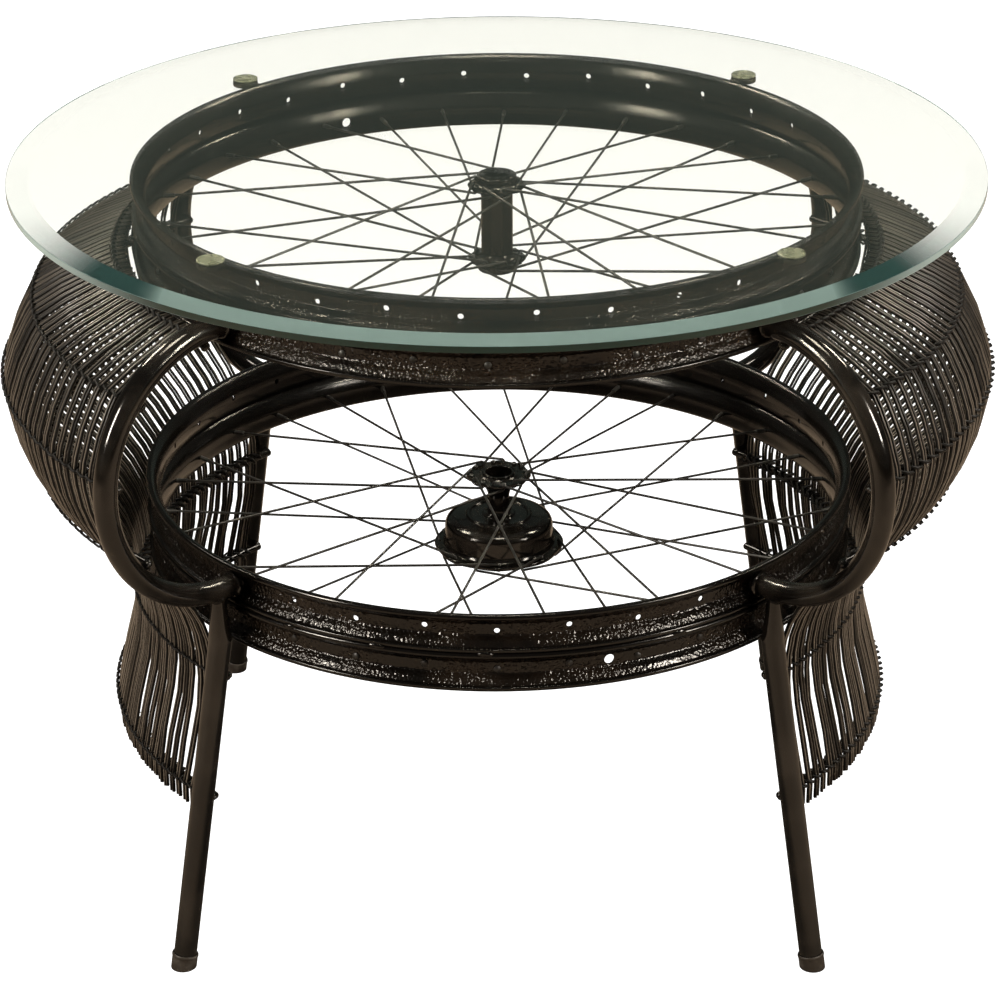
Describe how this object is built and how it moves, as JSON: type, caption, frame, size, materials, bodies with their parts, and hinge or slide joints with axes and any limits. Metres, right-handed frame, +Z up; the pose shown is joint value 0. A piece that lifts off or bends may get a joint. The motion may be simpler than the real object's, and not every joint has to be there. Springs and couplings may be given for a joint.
{
  "type": "bicycle wheel coffee table",
  "caption": "Low round table of stacked spoked bicycle wheels on bowed tubes and splayed legs, with rattan side panels and a loose bevelled glass top.",
  "frame": {"origin": "on the floor, under the common axis of the two wheels", "axes": "+Z up along the wheels' axis, +X through the middle of the right side panel, +Y to the rear"},
  "size_m": [0.8258, 0.8, 0.6155],
  "materials": {
    "glass": "polished, bevelled edge",
    "clear_pad": "clear, slightly yellowed",
    "black_enamel": "gloss black enamel",
    "pitted_enamel": "gloss black enamel over pitted steel",
    "rattan": "black stain, low sheen",
    "foot_rubber": "matt"
  },
  "bodies": {
    "stand": {"glass_pad_front_left": "clear_pad", "glass_pad_front_right": "clear_pad", "glass_pad_rear_left": "clear_pad", "glass_pad_rear_right": "clear_pad", "pad_seat_front_left": "black_enamel", "pad_seat_front_right": "black_enamel", "pad_seat_rear_left": "black_enamel", "pad_seat_rear_right": "black_enamel", "upper_bare_rim": "pitted_enamel", "upper_spoked_rim": "pitted_enamel", "lower_bare_rim": "pitted_enamel", "lower_spoked_rim": "pitted_enamel", "upper_hub_shell": "black_enamel", "upper_hub_cup_top": "black_enamel", "upper_hub_cup_bottom": "black_enamel", "lower_drum_hub": "black_enamel", "lower_hub_cup": "black_enamel", "upper_spokes_top": "black_enamel", "upper_spokes_bottom": "black_enamel", "lower_spokes_top": "black_enamel", "lower_spokes_bottom": "black_enamel", "bow_tube_front_left": "black_enamel", "bow_tube_front_right": "black_enamel", "bow_tube_rear_left": "black_enamel", "bow_tube_rear_right": "black_enamel", "leg_front_left": "black_enamel", "leg_front_right": "black_enamel", "leg_rear_left": "black_enamel", "leg_rear_right": "black_enamel", "foot_cap_front_left": "foot_rubber", "foot_cap_front_right": "foot_rubber", "foot_cap_rear_left": "foot_rubber", "foot_cap_rear_right": "foot_rubber", "shoulder_hoop_left": "black_enamel", "shoulder_hoop_right": "black_enamel", "upper_hoop_left": "black_enamel", "upper_hoop_right": "black_enamel", "belly_hoop_left": "black_enamel", "belly_hoop_right": "black_enamel", "lower_hoop_left": "black_enamel", "lower_hoop_right": "black_enamel", "waist_hoop_left": "black_enamel", "waist_hoop_right": "black_enamel", "hem_hoop_left": "black_enamel", "hem_hoop_right": "black_enamel", "woven_panel_left": "rattan", "woven_panel_right": "rattan"},
    "glass": {"glass_top": "glass"}
  },
  "joints": [
    {"name": "glass_lift", "type": "slide", "parent": "stand", "child": "glass", "axis": [0, 0, 1], "range_m": [0, 0.15]}
  ]
}
